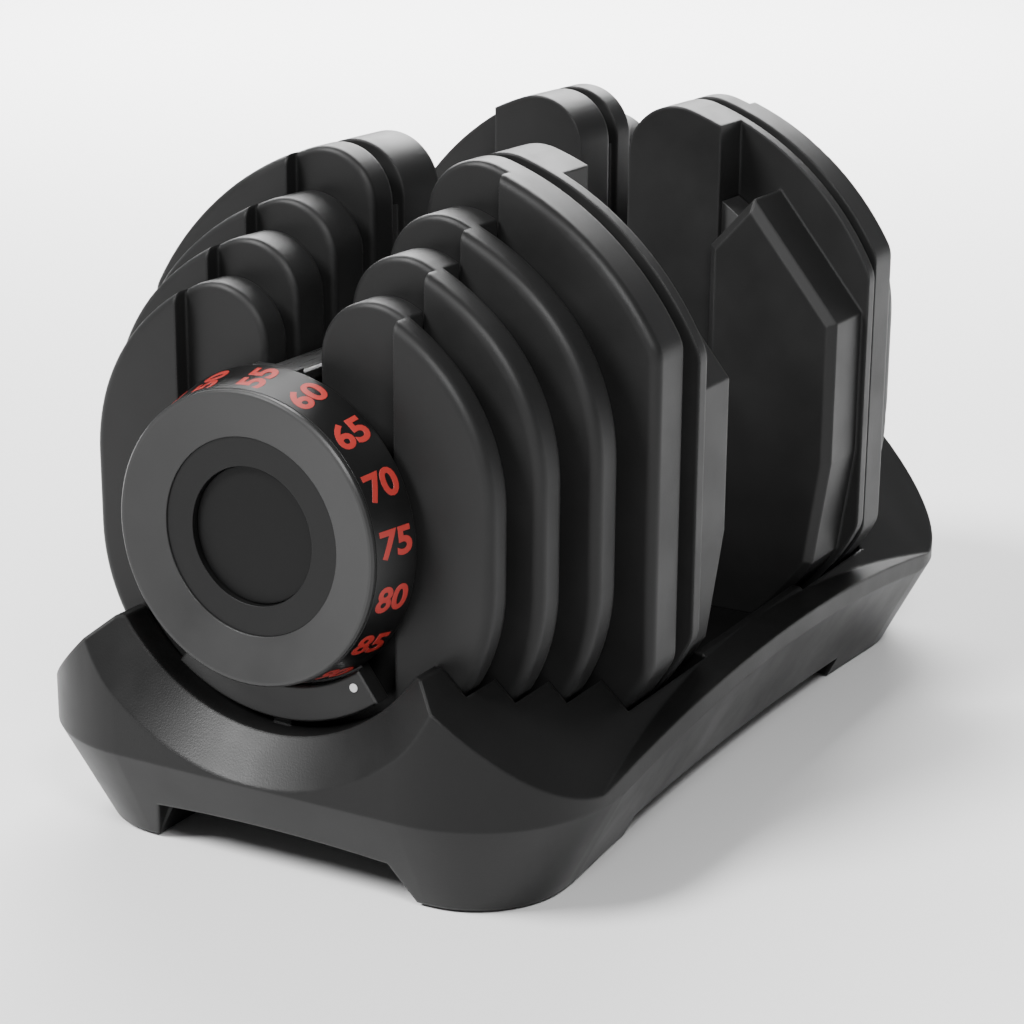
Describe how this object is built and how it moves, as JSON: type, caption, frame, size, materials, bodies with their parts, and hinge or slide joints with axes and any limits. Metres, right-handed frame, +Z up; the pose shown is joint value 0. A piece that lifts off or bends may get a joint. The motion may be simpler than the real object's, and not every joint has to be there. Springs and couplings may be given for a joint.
{
  "type": "adjustable dumbbell",
  "caption": "Dial-type adjustable dumbbell with nested plastic-covered plates, a turning selector dial at each end, and the moulded dock that it stands in",
  "frame": {"origin": "on the floor under the centre of the dock", "axes": "+X along the dumbbell, +Y across it, +Z up"},
  "size_m": [0.445, 0.25, 0.2703],
  "materials": {
    "dock_plastic": "fine moulded texture",
    "foot_rubber": "soft matt",
    "grip_rubber": "moulded rubber",
    "bar_steel": "satin",
    "plate_cover": "fine spark-eroded texture",
    "plate_steel": "plain",
    "dial_plastic": "satin",
    "number_ring_plastic": "near black satin",
    "housing_plastic": "fine texture",
    "disc_plastic": "glass-filled nylon",
    "zinc_steel": "zinc plated",
    "spring_steel": "drawn wire",
    "pointer_white": "gloss"
  },
  "bodies": {
    "root": {"dock": "dock_plastic", "dock_feet": "foot_rubber"},
    "handle": {"grip": "grip_rubber", "handle_tube": "bar_steel", "inner_guard_left": "housing_plastic", "bridge_left": "bar_steel", "bridge_screws_left": "zinc_steel", "end_housing_left": "housing_plastic", "setting_pointer_left": "pointer_white", "dial_bolt_left": "zinc_steel", "lock_spring_left": "spring_steel", "detent_spring_left": "spring_steel", "inner_guard_right": "housing_plastic", "bridge_right": "bar_steel", "bridge_screws_right": "zinc_steel", "end_housing_right": "housing_plastic", "setting_pointer_right": "pointer_white", "dial_bolt_right": "zinc_steel", "lock_spring_right": "spring_steel", "detent_spring_right": "spring_steel"},
    "left_dial": {"dial_left": "dial_plastic", "dial_inset_left": "dial_plastic", "dial_cap_left": "dial_plastic", "number_ring_left": "number_ring_plastic", "index_ring_left": "disc_plastic", "selector_tube_left": "disc_plastic", "selector_discs_left": "disc_plastic"},
    "left_lock": {"lock_slider_left": "zinc_steel"},
    "left_detent": {"detent_ball_left": "zinc_steel"},
    "left_plate_a": {"plate_a_cover_left": "plate_cover", "plate_a_core_left": "plate_steel"},
    "left_plate_b": {"plate_b_cover_left": "plate_cover", "plate_b_core_left": "plate_steel"},
    "left_plate_c": {"plate_c_cover_left": "plate_cover", "plate_c_core_left": "plate_steel"},
    "left_plate_d": {"plate_d_cover_left": "plate_cover", "plate_d_core_left": "plate_steel"},
    "left_plate_e": {"plate_e_cover_left": "plate_cover", "plate_e_core_left": "plate_steel"},
    "right_dial": {"dial_right": "dial_plastic", "dial_inset_right": "dial_plastic", "dial_cap_right": "dial_plastic", "number_ring_right": "number_ring_plastic", "index_ring_right": "disc_plastic", "selector_tube_right": "disc_plastic", "selector_discs_right": "disc_plastic"},
    "right_lock": {"lock_slider_right": "zinc_steel"},
    "right_detent": {"detent_ball_right": "zinc_steel"},
    "right_plate_a": {"plate_a_cover_right": "plate_cover", "plate_a_core_right": "plate_steel"},
    "right_plate_b": {"plate_b_cover_right": "plate_cover", "plate_b_core_right": "plate_steel"},
    "right_plate_c": {"plate_c_cover_right": "plate_cover", "plate_c_core_right": "plate_steel"},
    "right_plate_d": {"plate_d_cover_right": "plate_cover", "plate_d_core_right": "plate_steel"},
    "right_plate_e": {"plate_e_cover_right": "plate_cover", "plate_e_core_right": "plate_steel"}
  },
  "joints": [
    {"name": "handle_lift", "type": "slide", "parent": "root", "child": "handle", "axis": [0, 0, 1], "range_m": [0, 0.25]},
    {"name": "left_dial_turn", "type": "hinge", "parent": "handle", "child": "left_dial", "pos_m": [0, 0, 0.142], "axis": [-1, 0, 0], "continuous": true},
    {"name": "left_lock_drop", "type": "slide", "parent": "handle", "child": "left_lock", "axis": [0, 0, 1], "range_m": [-0.004, 0]},
    {"name": "left_detent_click", "type": "slide", "parent": "handle", "child": "left_detent", "axis": [0, 0, -1], "range_m": [0, 0.0012], "stiffness_N_per_m": 400, "springref_m": -0.01},
    {"name": "left_plate_a_lift", "type": "slide", "parent": "root", "child": "left_plate_a", "axis": [0, 0, 1], "range_m": [0, 0.25]},
    {"name": "left_plate_b_lift", "type": "slide", "parent": "root", "child": "left_plate_b", "axis": [0, 0, 1], "range_m": [0, 0.25]},
    {"name": "left_plate_c_lift", "type": "slide", "parent": "root", "child": "left_plate_c", "axis": [0, 0, 1], "range_m": [0, 0.25]},
    {"name": "left_plate_d_lift", "type": "slide", "parent": "root", "child": "left_plate_d", "axis": [0, 0, 1], "range_m": [0, 0.25]},
    {"name": "left_plate_e_lift", "type": "slide", "parent": "root", "child": "left_plate_e", "axis": [0, 0, 1], "range_m": [0, 0.25]},
    {"name": "right_dial_turn", "type": "hinge", "parent": "handle", "child": "right_dial", "pos_m": [0, 0, 0.142], "axis": [1, 0, 0], "continuous": true},
    {"name": "right_lock_drop", "type": "slide", "parent": "handle", "child": "right_lock", "axis": [0, 0, 1], "range_m": [-0.004, 0]},
    {"name": "right_detent_click", "type": "slide", "parent": "handle", "child": "right_detent", "axis": [0, 0, -1], "range_m": [0, 0.0012], "stiffness_N_per_m": 400, "springref_m": -0.01},
    {"name": "right_plate_a_lift", "type": "slide", "parent": "root", "child": "right_plate_a", "axis": [0, 0, 1], "range_m": [0, 0.25]},
    {"name": "right_plate_b_lift", "type": "slide", "parent": "root", "child": "right_plate_b", "axis": [0, 0, 1], "range_m": [0, 0.25]},
    {"name": "right_plate_c_lift", "type": "slide", "parent": "root", "child": "right_plate_c", "axis": [0, 0, 1], "range_m": [0, 0.25]},
    {"name": "right_plate_d_lift", "type": "slide", "parent": "root", "child": "right_plate_d", "axis": [0, 0, 1], "range_m": [0, 0.25]},
    {"name": "right_plate_e_lift", "type": "slide", "parent": "root", "child": "right_plate_e", "axis": [0, 0, 1], "range_m": [0, 0.25]}
  ],
  "couplings": [
    {"joint": "left_lock_drop", "follows": "handle_lift", "ratio": -0.016},
    {"joint": "left_plate_a_lift", "follows": "handle_lift", "ratio": 1},
    {"joint": "left_plate_b_lift", "follows": "handle_lift", "ratio": 1},
    {"joint": "left_plate_c_lift", "follows": "handle_lift", "ratio": 1},
    {"joint": "left_plate_d_lift", "follows": "handle_lift", "ratio": 1},
    {"joint": "left_plate_e_lift", "follows": "handle_lift", "ratio": 1},
    {"joint": "right_lock_drop", "follows": "handle_lift", "ratio": -0.016},
    {"joint": "right_plate_a_lift", "follows": "handle_lift", "ratio": 1},
    {"joint": "right_plate_b_lift", "follows": "handle_lift", "ratio": 1},
    {"joint": "right_plate_c_lift", "follows": "handle_lift", "ratio": 1},
    {"joint": "right_plate_d_lift", "follows": "handle_lift", "ratio": 1},
    {"joint": "right_plate_e_lift", "follows": "handle_lift", "ratio": 1}
  ]
}
